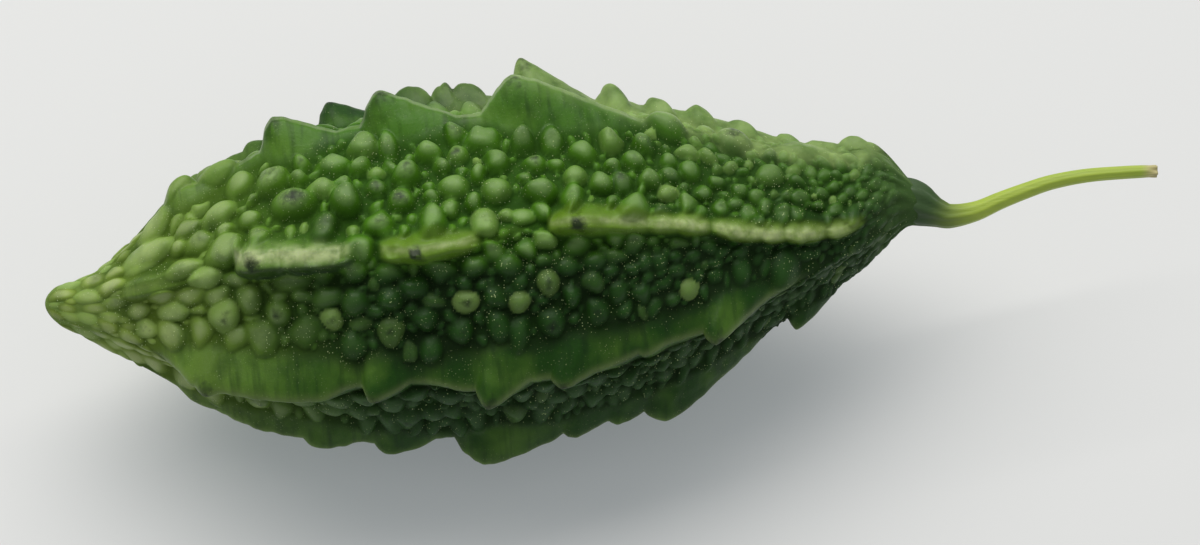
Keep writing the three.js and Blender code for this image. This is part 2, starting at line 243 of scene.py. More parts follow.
# The pale ridge. A pair is the two distances along the fruit between which something comes in or ends.
PALE_START = (20, 27)
BLOCK_END = (42, 48)  # its first stretch is a wide block
WIDER_START = (76, 84)  # the whitish paint, partly the ridge's own paleness and partly a painted highlight, covers more of its crest from here on
PALE_CREST = ((26, 0.8), (42, 0.8), (48, 0.4), (58, 0.4), (70, 0.3), (81, 0.65), (108, 0.55), (119, 0))
PALE_WIDTH = 0.38
PALE_WIDTH_ON_BLOCK = 0.5  # this much wider on the block,
PALE_WIDTH_LATER = 0.3  # and near the stalk
PALE_LINE = 0.2  # how far above the ridge's middle the paint runs,
PALE_LINE_ON_BLOCK = 0.3  # and this much further on the block
YELLOW_WIDTH = 1.8
YELLOW_ON_BLOCK = 0.2
BLOCK_SHADE = (0.5, 1.1)  # painted shade: the block is darker between these offsets below its middle,
BLOCK_SHADE_TONE = 2  # by this much of the warts' tone

# Painted light, shade, sheen and crest highlights on the skin by side, and the skin's shades by distance along
# the fruit.
PAINTED_SHEEN_SIDE = math.radians(144)  # a pale painted sheen, where light grazes the upper back, is on this side, towards the stalk,
PAINTED_SHEEN_SHIFT = math.radians(14)  # and further up near the stalk
PAINTED_SHEEN_SHIFTED = (80, 105)
PAINTED_SHEEN_START = (45, 75)
PAINTED_SHEEN_SPREAD = (0.88, 0.97)  # cosines of the angle from the painted sheen's side, at its edge and where it is full
PAINTED_LIGHT_SIDE = math.radians(105)  # painted light: the skin is paler on this side, down to the pale ridge
PAINTED_LIGHT_SPREAD = (0.64, 0.82)
PAINTED_LIGHT_FADES = (60, 110)
PAINTED_LIGHT_TIP_END = (18, 50)  # painted light: towards the blossom tip it is paler all round, at half strength
RIPE_END = 44  # the blossom end is yellower up to here
TIP_TONE = 0.9
TIP_TONE_END = (3, 16)
# painted highlight along the ridges' crests, this wide
CREST_HIGHLIGHT_WIDTH = 0.45

# The warts that stand out: distance, angle, radius along, radius round, tone (pale above 0), dark tip.
STANDING_WARTS = (
    (22.5, 67, 2.8, 1.8, 1.2, 0), (20, 76, 2.8, 1.5, 0.6, 0), (24.5, 45, 2.2, 2.4, 0.9, 0.6),
    (25, 101, 2.8, 2.3, 0.6, 0), (29, 90, 1.7, 1.7, 0.3, 0), (28, 53, 1.8, 2.5, 0.4, 0),
    (31.5, 46, 1.7, 2.2, 0, 0.8), (35, 92, 3.3, 2.8, 0.2, 1), (48, 110, 1.8, 1.8, 0.2, 0.4),
    (46, 93, 1.7, 1.7, -0.8, 0.8), (49, 87, 2.1, 2.1, -0.3, 1), (56, 90, 2.3, 2.3, 0.4, 0),
    (61.5, 87, 2.5, 2.1, 0.5, 0), (59.5, 75, 2.1, 2.1, 1, 0.3), (64.5, 76, 2.1, 1.3, 0.6, 0),
    (57, 105, 1.8, 1.8, 0.4, 0.8), (67, 98, 1.9, 1.9, 0, 0.9), (72, 91, 1.9, 1.9, 0.6, 0),
    (78, 88, 1.9, 2.2, -1, 0.6), (87.5, 96, 1.9, 1.9, 0, 0), (98.5, 95, 2.3, 2.2, 0.4, 0),
    (38.5, 43, 1.8, 1.6, 1, 0.8), (46, 38, 2.2, 1.7, 0.5, 0.7), (56, 47, 2.1, 1.5, 1.1, 0.9),
    (63, 45, 1.8, 1.5, 0.9, 0), (67, 51, 1.8, 1.8, 0.7, 0.8), (60, 38, 1.8, 1.8, 0.1, 0.4),
    (55, 37, 1.8, 1.7, 0, 0.5), (67, 37, 1.9, 1.9, -0.4, 1), (73, 39, 1.6, 1.8, -0.3, 1),
    (85.5, 40, 1.6, 1.3, 1.1, 0), (51, 31, 1.8, 1.6, 0, 0.4), (85.5, 120, 3, 2.4, 0, 0),
    (94.5, 120, 2.8, 2.3, -0.8, 0.8), (53, 157, 2.5, 2.3, 0.4, 0), (57.5, 158, 1.9, 1.9, 0, 0),
    (61, 157, 2, 1.9, 0.3, 0), (15, 98, 4.2, 2.4, 0.8, 0), (13, 50, 1.9, 1.4, 0.4, 0),
    (17, 35, 2, 1.6, 0.3, 0), (16.5, 60, 2.1, 1.3, 0.2, 0), (99, 36, 2.4, 2.3, -0.3, 0),
    (93, 42, 1.6, 1.6, 0, 0), (80, 152, 2.4, 2.2, 0.4, 0), (86, 150, 2, 1.8, 0.2, 0),
    (91.5, 149, 1.9, 1.7, 0.3, 0), (97, 147, 1.8, 1.6, 0, 0), (103, 146, 1.6, 1.5, 0.2, 0),
    (75, 140, 1.9, 1.8, 0.2, 0), (91, 134, 1.8, 1.7, 0.2, 0), (20, 131, 2.7, 2.2, 0.6, 0),
    (25.5, 127, 2.5, 2.3, 0.5, 0), (30, 139, 2.3, 2.2, 0.3, 0), (28, 113, 2.2, 2.1, 0.3, 0),
    (16, 118, 3, 2, 0.6, 0), (24, 148, 2.2, 2, 0.4, 0),
)

# --- The stalk -----------------------------------------------------------------------------------------------

# Its centreline: (distance from the fruit's end, y, z above the fruit's axis). Its foot is inside the fruit.
STALK_PATH = (
    (-1.8, 2.6, 0.8), (-0.9, 2.3, 0.7), (0.6, 1.6, 0.5), (1.8, 0.9, 0.3), (3, 0.3, 0.1), (4.7, -0.3, -0.1),
    (8.3, 0, 0), (11.9, 1, 0.5), (15.5, 1.9, 0.9), (19.1, 2.6, 1.3), (24, 3, 1.5), (29.6, 2.9, 1.5),
    (34, 2.7, 1.4),
)
# Its radius: (share of its length, radius)
STALK_PROFILE = (
    (0, 3.0), (0.03, 3.1), (0.06, 3.0), (0.085, 2.75), (0.11, 2.4), (0.145, 1.95), (0.19, 1.65), (0.29, 1.35),
    (0.39, 1.18), (0.6, 1.0), (0.8, 0.9), (0.95, 0.85), (1, 0.75),
)
STALK_RINGS = 150
STALK_SIDES = 40
RIBS = 8
RIB_HEIGHT = 0.035  # for the stalk's radius,
FOOT_RIB_HEIGHT = 0.035  # and this much more at its foot
FOOT_RIBS_END = (0.08, 0.3)  # shares of the stalk's length between which that runs out
RIB_TWIST = 2.5
FOOT_GREEN_END = (0.1, 0.32)  # and between which the foot's dark green gives way
DRY_START = (0.93, 0.985)  # and the dry end's brown comes in
END_CAP = 0.1  # how far the cut end's middle stands out
TORN_START = 0.96  # from this share on, the stalk's end is torn
TORN_HEIGHT = 0.25
TORN_LOBES = 5

rng = np.random.default_rng(7)


def smooth_through(points, x):
    """A smooth curve through points (x, value), level beyond its ends, at every x of an array."""
    xs, ys = np.array(points, float).T
    x = np.clip(x, xs[0], xs[-1])
    last = len(xs) - 1
    before = np.maximum(np.arange(last + 1) - 1, 0)
    after = np.minimum(np.arange(last + 1) + 1, last)
    slope = (ys[after] - ys[before]) / (xs[after] - xs[before])
    i = np.clip(np.searchsorted(xs, x, side="right") - 1, 0, last - 1)
    width = xs[i + 1] - xs[i]
    u = (x - xs[i]) / width
    return (
        (2 * u**3 - 3 * u**2 + 1) * ys[i]
        + (u**3 - 2 * u**2 + u) * width * slope[i]
        + (3 * u**2 - 2 * u**3) * ys[i + 1]
        + (u**3 - u**2) * width * slope[i + 1]
    )


def ease(value, start, end):
    """0 before start, 1 after end, and a smooth step between them."""
    u = np.clip((value - start) / (end - start), 0, 1)
    return u * u * (3 - 2 * u)


def bell(value, width):
    """1 at 0, falling off smoothly to both sides."""
    return np.exp(-((value / width) ** 2))


def wrapped(angle):
    """The same angle between -pi and pi."""
    return (angle + math.pi) % TAU - math.pi


def body_radius(x):
    """Radius of the skin between the ridges, rounded off at the blossom tip."""
    in_tip = np.clip(x / TIP_ROUND, 0, 1)
    return smooth_through(BODY_PROFILE, x) * np.sqrt(1 - (1 - in_tip) ** 2)


def skin_radius(x):
    """The body's radius, but never too thin to turn a width into an angle."""
    return np.maximum(body_radius(x), THINNEST)


def ridge_angle(ridge, x):
    return np.radians(ridge["angle"] + smooth_through(ridge["wander"], x))


def crest_height(ridge, x):
    """Height of a ridge's crest above the skin: a low rim with teeth that are steep towards the blossom end."""
    run_out = np.clip((FRUIT_LENGTH - x) / RIDGE_RUN_OUT, 0, 1)
    fade = np.minimum(1, body_radius(x) / FULL_RIDGE_RADIUS) * run_out
    height = smooth_through(ridge["crest"], x) * fade
    for tip, tall, back in ridge["teeth"]:
        along = x - tip
        reach = np.where(along < 0, back * TOOTH_FRONT, back)
        rounded = np.hypot(along, TOOTH_TIP_ROUND) - TOOTH_TIP_ROUND
        tooth = tall * np.maximum(0, 1 - rounded / reach) ** ridge["edge"]
        height = np.maximum(height, tooth * np.minimum(1, fade * TOOTH_RUN_OUT))
    return height


class Waves:
    """Smooth noise in space: a sum of plane waves in random directions, about -1 to 1."""

    COUNT = 14
    LENGTHS = (0.7, 1.4)  # how far the wavelengths spread
    PEAK = 1.4

    def __init__(self, wavelength, squash=(1, 1, 1)):
        directions = rng.normal(size=(self.COUNT, 3))
        directions /= np.linalg.norm(directions, axis=1, keepdims=True)
        lengths = wavelength * rng.uniform(*self.LENGTHS, (self.COUNT, 1))
        self.k = directions * TAU / lengths * np.array(squash)
        self.phase = rng.uniform(0, TAU, self.COUNT)

    def __call__(self, x, angle, radius):
        y, z = -np.cos(angle) * radius, np.sin(angle) * radius
        total = 0
        for (kx, ky, kz), phase in zip(self.k, self.phase):
            total = total + np.sin(kx * x + ky * y + kz * z + phase)
        return total / math.sqrt(self.COUNT) / self.PEAK


def ridge_field(x, angle):
    """How far the ridges stand above the skin at (x, angle), which ridge is nearest, and the offset from it."""
    radius = skin_radius(x)
    height = np.zeros(np.broadcast(x, angle).shape)
    nearest = np.zeros(height.shape, int)
    offset = np.full(height.shape, np.inf)
    for k, ridge in enumerate(RIDGES):
        off = wrapped(angle - ridge_angle(ridge, x)) * radius
        plateau = ridge["plateau"] * smooth_through(ridge.get("narrow", FULL_PLATEAU), x)
        plateau = np.minimum(plateau, WIDEST_CREST * PITCH * radius)
        crest = crest_height(ridge, x)
        face = ridge["face"] * np.minimum(1, LOW_FACE + FACE_GROWTH * crest)
        face = np.minimum(face, WIDEST_FACE * PITCH * radius)
        down = np.maximum(np.abs(off) - plateau, 0)
        down = np.hypot(down, CREST_ROUND) - CREST_ROUND
        height = np.maximum(height, crest * np.maximum(0, 1 - down / face) ** FACE_HOLLOW)
        nearer = np.abs(off) < np.abs(offset)
        nearest = np.where(nearer, k, nearest)
        offset = np.where(nearer, off, offset)
    return height, nearest, offset


def valley_of(x, angle):
    """The number of the valley that (x, angle) lies in, which is that of the ridge above it."""
    below = np.stack([(ridge_angle(r, x) - angle) % TAU for r in RIDGES])
    return below.argmin(0)


def stations():
    """Distances along the fruit of its rings of vertices, closer together where the tip rounds off."""
    tip = TIP_ROUND * (1 - np.cos(np.linspace(0, math.pi / 2, TIP_RINGS)))
    rest = np.linspace(TIP_ROUND, FRUIT_LENGTH, round((FRUIT_LENGTH - TIP_ROUND) / RING_STEP) + 1)
    return np.concatenate([tip[1:], rest[1:]])


def column_angles(x):
    """The angles of the columns at each station: they follow the ridges and crowd on their faces."""
    seam = sum(ridge_angle(RIDGES[k], x) for k in LOWEST_RIDGES) / 2
    samples = np.linspace(0, TAU, ANGLE_SAMPLES)
    radius = skin_radius(x)
    angles = np.empty((len(x), COLUMNS))
    for i in range(len(x)):
        density = np.ones(len(samples))
        crowding = CROWDING * min(1, radius[i] / FULL_RIDGE_RADIUS)
        for ridge in RIDGES:
            off = np.abs(wrapped(samples + seam[i] - ridge_angle(ridge, x[i]))) * radius[i]
            reach = min(ridge["face"] + ridge["plateau"], WIDEST_FACE * PITCH * radius[i])
            density += crowding * (1 - ease(off, CROWDED[0] * reach, CROWDED[1] * reach))
        total = np.concatenate([[0], np.cumsum((density[1:] + density[:-1]) / 2)])
        angles[i] = seam[i] + np.interp(np.arange(COLUMNS) / COLUMNS * total[-1], total, samples)
    return angles


# --- The warts -----------------------------------------------------------------------------------------------


def standing_warts():
    """The warts of the table, each about as high as it is wide."""
    warts = []
    for x, angle, along, around, tone, mark in STANDING_WARTS:
        relief = STANDING_HEIGHT * smooth_through(WART_RELIEF, np.array(x))
        warts.append(dict(
            x=x, angle=math.radians(angle), radius=math.sqrt(along * around),
            height=min(along, around) * relief, stretch=math.sqrt(along / around),
            round_stretch=math.sqrt(around / along), tone=tone, mark=mark, drift=STANDING_DRIFT,
        ))
    return warts


def scattered_warts(standing):
    """Warts of every size on the valleys' floors, the largest first, none in another's way."""
    x = rng.uniform(*WARTY, WART_TRIES)
    x = x[rng.uniform(0, WIDEST_BODY, WART_TRIES) < body_radius(x)]
    angle = rng.uniform(-math.pi, math.pi, len(x))
    ridge_height, _, _ = ridge_field(x, angle)
    valley = np.array(VALLEYS)[valley_of(x, angle)]
    largest = smooth_through(WART_SIZE, x) * valley[:, 0]
    radius = SMALLEST_WART + (largest - SMALLEST_WART) * rng.uniform(0, 1, len(x)) ** FEW_LARGE
    room = LARGEST_ON_FOOT * (1 - ease(ridge_height, CROWDED_HEIGHT, WART_FREE_HEIGHT))
    fits = (radius < SMALLEST_WART + room) & (ridge_height < WART_FREE_HEIGHT)
    order = np.flatnonzero(fits)[np.argsort(-radius[fits])]
    x, angle, radius, valley = x[order], angle[order], radius[order], valley[order]
    skin = skin_radius(x)
    stretch = smooth_through(WART_STRETCH, x) * rng.uniform(*STRETCHES, len(x))
    spacing = valley[:, 1] * smooth_through(WART_CROWDING, x) * rng.uniform(*SPACINGS, len(x))
    count = len(standing)
    placed = np.zeros((len(x) + count, 3))
    placed[:count] = [(wart["x"], wart["angle"], ROOM_ROUND_STANDING * wart["radius"]) for wart in standing]
    chosen = []
    for i in range(len(x)):
        dx = (placed[:count, 0] - x[i]) / stretch[i]
        ds = wrapped(placed[:count, 1] - angle[i]) * skin[i] / valley[i, 3]
        if np.all(np.hypot(dx, ds) > spacing[i] * (placed[:count, 2] + radius[i])):
            placed[count] = x[i], angle[i], radius[i]
            count += 1
            chosen.append(i)
    relief = smooth_through(WART_RELIEF, x) * rng.uniform(*RELIEFS, len(x))
    return [
        dict(x=x[i], angle=angle[i], radius=radius[i], height=radius[i] * valley[i, 2] * relief[i],
             stretch=stretch[i], round_stretch=valley[i, 3])
        for i in chosen
    ]


def give_character(warts):
    """Each wart's own outline, bluntness, tone and, on some of the large ones, a dark tip."""
    for wart in warts:
        wart["phase"] = rng.uniform(0, TAU)
        wart.setdefault("drift", OUTLINE_DRIFT)
        soft = abs(wrapped(wart["angle"] - SOFT_SIDE)) < SOFT_REACH or wart["x"] < SOFT_TIP
        wart["blunt"] = SOFT_BLUNT if soft else BLUNT
        wart["steep"] = rng.uniform(*(SOFT_STEEP if soft else STEEP))
        wart.setdefault("tone", rng.normal(0, SOFT_TONES if soft else TONES))
        dark = rng.uniform() < DARK_TIPS and wart["radius"] > LARGE_WART
        wart.setdefault("mark", rng.uniform(*DARKNESS) if dark else 0.0)
    return warts


def grid_round(wart, x, angles):
    """The part of the grid that a wart may reach, as an index into it, or None where it reaches no ring."""
    reach = WART_MARGIN * wart["radius"]
    reach_x = reach * wart["stretch"]
    rows = np.arange(*np.searchsorted(x, (wart["x"] - reach_x, wart["x"] + reach_x)))
    if len(rows) == 0:
        return None
    reach_angle = reach * wart["round_stretch"] / float(skin_radius(np.array(wart["x"])))
    near = np.zeros(COLUMNS, bool)
    for row in (rows[0], rows[len(rows) // 2], rows[-1]):
        near |= np.abs(wrapped(angles[row] - wart["angle"])) < ANGLE_MARGIN * reach_angle + LEAST_ANGLE
    return np.ix_(rows, np.flatnonzero(near))


def raise_warts(warts, x, angles):
    """The warts' height over the grid, with how high each point is on its wart, its tone and its dark tip."""
    height = np.zeros(angles.shape)
    dome = np.zeros(angles.shape)
    tone = np.zeros(angles.shape)
    mark = np.zeros(angles.shape)
    radius = body_radius(x)[:, None]
    skin = skin_radius(x)[:, None]
    calm_tip = np.minimum(1, radius / FULL_SWELLING_RADIUS)
    drift_x = calm_tip * Waves(OUTLINE_WAVE)(x[:, None], angles, radius)
    drift_s = calm_tip * Waves(OUTLINE_WAVE)(x[:, None], angles, radius)
    for wart in warts:
        spot = grid_round(wart, x, angles)
        if spot is None:
            continue
        rows = spot[0]
        dx = x[rows] - wart["x"] + wart["drift"] * drift_x[spot]
        ds = wrapped(angles[spot] - wart["angle"]) * skin[rows, 0] + wart["drift"] * drift_s[spot]
        dx = dx / (wart["radius"] * wart["stretch"])
        ds = ds / (wart["radius"] * wart["round_stretch"])
        turn = np.arctan2(ds, dx)
        oval = OVAL * np.sin(2 * turn + wart["phase"])
        three_sided = THREE_SIDED * np.sin(3 * turn + 2 * wart["phase"])
        out = np.hypot(dx, ds) * (1 + oval + three_sided)
        shape = np.maximum(0, 1 - out ** wart["blunt"]) ** wart["steep"]
        rise = wart["height"] * shape
        on = rise > height[spot]
        height[spot] = (height[spot] ** MERGING + rise**MERGING) ** (1 / MERGING)
        fullness = min(1, SMALL_DOME + DOME_GROWTH * wart["radius"])
        dome[spot] = np.where(on, shape * fullness, dome[spot])
        tone[spot] = np.where(on, wart["tone"] * np.minimum(1, TONE_FOOT * shape), tone[spot])
        mark[spot] = np.where(on, wart["mark"] * bell(out, MARK_WIDTH), mark[spot])
    return height, dome, tone, mark


# --- The fruit -----------------------------------------------------------------------------------------------


def tooth_marks(x, nearest, offset):
    """Dark marks on the tips of the large teeth, just below the crest."""
    mark = np.zeros(x.shape)
    for k, ridge in enumerate(RIDGES):
        for tip, tall, _ in ridge["teeth"]:
            if tall < MARKED_TOOTH:
                continue
            size = TOOTH_MARK + TOOTH_MARK_GROWTH * tall
            near = bell(x - tip, size) * bell(offset + TOOTH_MARK_DROP, TOOTH_MARK_ROUND * size)
            mark = np.maximum(mark, np.where(nearest == k, ridge["dark"] * near, 0))
    return mark


def relief(form, x, angles, radius):
    """One of the skin's small reliefs over the grid."""
    height, wavelength, squash = form
    return height * Waves(wavelength, squash)(x, angles, radius)


def fine_relief(x, angles, radius, face, neck, knobbly):
    """Swellings, grain, creases on the ridges' faces, knobs on the pale ridge and pleats at the neck."""
    swellings = relief(SWELLINGS, x, angles, radius) * np.minimum(1, radius / FULL_SWELLING_RADIUS)
    grain = relief(GRAIN, x, angles, radius) * np.minimum(1, radius / FULL_GRAIN_RADIUS)
    creases = relief(CREASES, x, angles, radius) * face
    knobs = relief(KNOBS, x, angles, radius) * knobbly
    pleats = PLEAT_HEIGHT * neck * (1 - ease(x, *PLEATS_END))
    pleats = pleats * np.cos(angles * PLEATS + PLEAT_SWAY * np.sin(angles * PLEAT_SWAYS))
    return swellings + grain + creases + knobs + pleats


def bent(x, angles, radius, lift, lean, sideways):
    """Points of the grid on the bowed fruit: lift is out from the skin, lean back and sideways across it."""
    spine = smooth_through(BOW, x)
    rho = radius + lift
    return np.stack(
        [
            x - lean,
            spine - np.cos(angles) * rho + np.sin(angles) * sideways,
            BOW_RISE * spine + np.sin(angles) * rho + np.cos(angles) * sideways,
        ],
        axis=-1,
    )


def paint_masks(x, angles, ridge, offset, on_pale_ridge):
    """Where light, shade, sheen and crest highlights are painted on the skin, and where the pale ridge is
    whitish or yellow.
    """
    block = on_pale_ridge * (1 - ease(x, *BLOCK_END)) * ease(ridge, *BLOCK_HEIGHTS)
    pale_line = PALE_LINE + PALE_LINE_ON_BLOCK * block
    pale_width = PALE_WIDTH + PALE_WIDTH_ON_BLOCK * block + PALE_WIDTH_LATER * ease(x, *WIDER_START)
    pale = on_pale_ridge * ease(ridge, *PALE_HEIGHTS) * smooth_through(PALE_CREST, x)
    yellow_share = YELLOW_ON_BLOCK + (1 - YELLOW_ON_BLOCK) * ease(x, *BLOCK_END)
    yellow = on_pale_ridge * ease(ridge, *YELLOW_HEIGHTS) * yellow_share
    painted_sheen_side = PAINTED_SHEEN_SIDE - PAINTED_SHEEN_SHIFT * ease(x, *PAINTED_SHEEN_SHIFTED)
    painted_light = ease(np.cos(angles - PAINTED_LIGHT_SIDE), *PAINTED_LIGHT_SPREAD) * (1 - ease(x, *PAINTED_LIGHT_FADES) / 2)
    return dict(
        # painted shade on the block's lower side
        shaded=block * ease(-offset, *BLOCK_SHADE),
        pale=pale * bell(offset - pale_line, pale_width),
        yellow=yellow * bell(offset - PALE_LINE, YELLOW_WIDTH),
        painted_sheen=ease(np.cos(angles - painted_sheen_side), *PAINTED_SHEEN_SPREAD) * ease(x, *PAINTED_SHEEN_START),
        painted_light=np.maximum(painted_light, (1 - ease(x, *PAINTED_LIGHT_TIP_END)) / 2),
        ripe=1 - ease(x, 0, RIPE_END),
        # painted highlight along the ridges' crests
        crest=bell(offset, CREST_HIGHLIGHT_WIDTH) * ease(ridge, *CREST_HEIGHTS),
    )


def fruit_points(stops, angles):
    """The fruit's surface over the grid, in millimetres from its tip's place, and the masks that colour it."""
    radius = body_radius(stops)[:, None]
    x = np.broadcast_to(stops[:, None], angles.shape)
    ridge, nearest, offset = ridge_field(x, angles)
    standing = standing_warts()
    wart, dome, tone, mark = raise_warts(give_character(standing + scattered_warts(standing)), stops, angles)

    face = ease(ridge, *FACE_HEIGHTS)
    neck = ease(x, NECK_START, FRUIT_LENGTH)
    on_pale_ridge = (nearest == PALE_RIDGE) * ease(x, *PALE_START)
    knobbly = on_pale_ridge * ease(ridge, *KNOB_HEIGHTS)
    lift = ridge + wart + fine_relief(x, angles, radius, face, neck, knobbly)
    lean = TOOTH_LEAN * ridge * np.minimum(1, ridge / FULL_LEAN_HEIGHT)
    sideways = np.array([r["tilt"] for r in RIDGES])[nearest] * ridge
    lift = lift * np.minimum(1, radius / FULL_LIFT_RADIUS)
    points = bent(x, angles, radius, lift, lean, sideways)

    masks = paint_masks(x, angles, ridge, offset, on_pale_ridge)
    tip_tone = TIP_TONE * (1 - ease(x, *TIP_TONE_END))
    # the tone also carries the painted shade on the block's lower side
    masks["tone"] = tone + tip_tone - BLOCK_SHADE_TONE * masks.pop("shaded")
    masks["mark"] = np.maximum(mark, tooth_marks(x, nearest, offset))
    masks.update(dome=dome, face=face, neck=neck)
    return points, masks


def make_fruit():
    x = stations()
    points, masks = fruit_points(x, column_angles(x))
    origin = np.array(TIP)
    world = origin + points * MM
    world[..., 2] = np.maximum(world[..., 2], 0)  # the teeth that it rests on are pressed flat
    bow = smooth_through(BOW, np.array(FRUIT_LENGTH))
    end = np.array([FRUIT_LENGTH, bow, BOW_RISE * bow])
    return grid_mesh("gourd_fruit", world, origin, origin + end * MM, masks)


# --- Meshes --------------------------------------------------------------------------------------------------

UV_MARGIN = (0.01, 0.005)  # the grid keeps this far from the edges of the UV square, along and round
POLE_U = 0.002


def corner_uvs(us, vs):
    """The UVs of a run of faces. us and vs hold one entry for each corner of a face."""
    corners = [np.stack(np.broadcast_arrays(u, v), -1) for u, v in zip(us, vs)]
    return np.stack(corners, axis=-2).reshape(-1, 2)


def grid_uvs(points):
    """The UVs of grid_mesh's faces, in their order: the rings run along u and the columns along v."""
    rings, columns = points.shape[:2]
    steps = np.linalg.norm(np.diff(points, axis=0), axis=2).mean(axis=1)
    u = UV_MARGIN[0] + (1 - 2 * UV_MARGIN[0]) * np.concatenate([[0], np.cumsum(steps)]) / steps.sum()
    v = UV_MARGIN[1] + (1 - 2 * UV_MARGIN[1]) * np.arange(columns + 1) / columns
    left, right = v[:-1], v[1:]
    middle = (left + right) / 2
    before, after = u[:-1, None], u[1:, None]
    return np.concatenate([
        corner_uvs((before, after, after, before), (left, left, right, right)),
        corner_uvs((POLE_U, u[0], u[0]), (middle, left, right)),
        corner_uvs((u[-1], 1 - POLE_U, u[-1]), (left, middle, right)),
    ])


def grid_mesh(name, points, start, end, masks):
    """A closed mesh from rings of points, with a pole at each end, a UV map and a float attribute per mask."""
    rings, columns = points.shape[:2]
    vertices = np.concatenate([points.reshape(-1, 3), [start, end]])
    start_pole, end_pole = rings * columns, rings * columns + 1
    base = np.arange(rings - 1)[:, None] * columns
    one = np.arange(columns)
    two = (one + 1) % columns
    quads = np.stack([base + one, base + columns + one, base + columns + two, base + two], axis=-1)
    last = (rings - 1) * columns
    first_fan = np.stack([np.full(columns, start_pole), one, two], axis=-1)
    last_fan = np.stack([last + one, np.full(columns, end_pole), last + two], axis=-1)

    mesh = bpy.data.meshes.new(name)
    faces = quads.reshape(-1, 4).tolist() + first_fan.tolist() + last_fan.tolist()
    mesh.from_pydata(vertices.tolist(), [], faces)
    layer = mesh.uv_layers.new(name="OFBake")
    layer.data.foreach_set("uv", grid_uvs(points).astype(np.float32).ravel())
    for key, values in masks.items():
        ends = [values[0].mean(), values[-1].mean()]
        attribute = mesh.attributes.new(key, "FLOAT", "POINT")
        attribute.data.foreach_set("value", np.concatenate([values.ravel(), ends]).astype(np.float32))
    mesh.shade_smooth()
    mesh.update()
    piece = bpy.data.objects.new(name, mesh)
    bpy.context.scene.collection.objects.link(piece)
    return piece


def make_stalk():
    """The stalk: a ribbed bar that tapers along its curve, with a torn end."""
    path = np.array(STALK_PATH, float)
    path[:, 0] += FRUIT_LENGTH
    along = np.concatenate([[0], np.cumsum(np.linalg.norm(np.diff(path, axis=0), axis=1))])
    share = np.linspace(0, 1, STALK_RINGS)
    curves = [np.stack([along, path[:, axis]], 1) for axis in range(3)]
    centre = np.stack([smooth_through(curve, share * along[-1]) for curve in curves], axis=1)
    tangent = np.gradient(centre, axis=0)
    tangent /= np.linalg.norm(tangent, axis=1, keepdims=True)
    side = np.cross([0, 0, 1], tangent)
    side /= np.linalg.norm(side, axis=1, keepdims=True)
    top = np.cross(tangent, side)

    turn = np.arange(STALK_SIDES) / STALK_SIDES * TAU
    share = share[:, None]
    rib_height = RIB_HEIGHT + FOOT_RIB_HEIGHT * (1 - ease(share, *FOOT_RIBS_END))
    radius = smooth_through(STALK_PROFILE, share)
    radius = radius * (1 + rib_height * np.cos(turn * RIBS + RIB_TWIST * share))
    radius = radius * (1 + TORN_HEIGHT * ease(share, TORN_START, 1) * np.sin(turn * TORN_LOBES + 1))
    across = np.cos(turn)[:, None] * side[:, None, :] + np.sin(turn)[:, None] * top[:, None, :]
    points = centre[:, None, :] + radius[..., None] * across

    origin = np.array(TIP)
    share = np.broadcast_to(share, radius.shape)
    masks = dict(green=1 - ease(share, *FOOT_GREEN_END), dry=ease(share, *DRY_START))
    end = centre[-1] + tangent[-1] * END_CAP
    return grid_mesh("gourd_stalk", origin + points * MM, origin + centre[0] * MM, origin + end * MM, masks)


# --- Materials -----------------------------------------------------------------------------------------------

# The skin's greens, 0 to 255 on screen: with painted shade, with painted light on the lit side, and towards the
# blossom tip. The valleys' greens are darker as painted shade between the warts, and the wart tops' paler as a
# painted sheen.
SKIN = dict(
    valley=((12, 36, 1), (42, 80, 8), (90, 112, 30)),
    wart_side=((22, 60, 4), (72, 120, 18), (134, 154, 66)),
    wart_top_sheen=((42, 78, 28), (120, 152, 86), (176, 188, 126)),
    ridge_face=((28, 68, 8), (70, 116, 28), (122, 146, 62)),
)
FACE_STREAK = (98, 136, 48)
FACE_CREASE = (20, 50, 12)
BLOTCH = (24, 58, 6)
PALE_TONE = (140, 170, 90)
DARK_TONE_AND_SHADE = (20, 46, 20)
CREST_HIGHLIGHT = (150, 168, 100)
YELLOW_CREST = (104, 134, 34)
PAINTED_SHEEN = (160, 186, 112)
PALE_AND_HIGHLIGHT = (196, 208, 152)
NECK = (64, 92, 44)
DARK_TIP = (22, 34, 18)
SPECK = (184, 200, 140)
SPECKS = ((0.36, 0.22, 0.5), (0.7, 0.14, 0.45))  # spacing in mm, size for it, share of them left out

STALK_GREENS = ((142, 166, 50), (172, 190, 70))
STALK_FOOT = (48, 76, 30)
DRY_END = (184, 174, 120)


def rgb(red, green, blue):
    """A colour given as 0 to 255 on screen, as the shader's linear values."""
    linear = (((c / 255 + 0.055) / 1.055) ** 2.4 if c > 10 else c / 255 / 12.92 for c in (red, green, blue))
    return (*linear, 1)


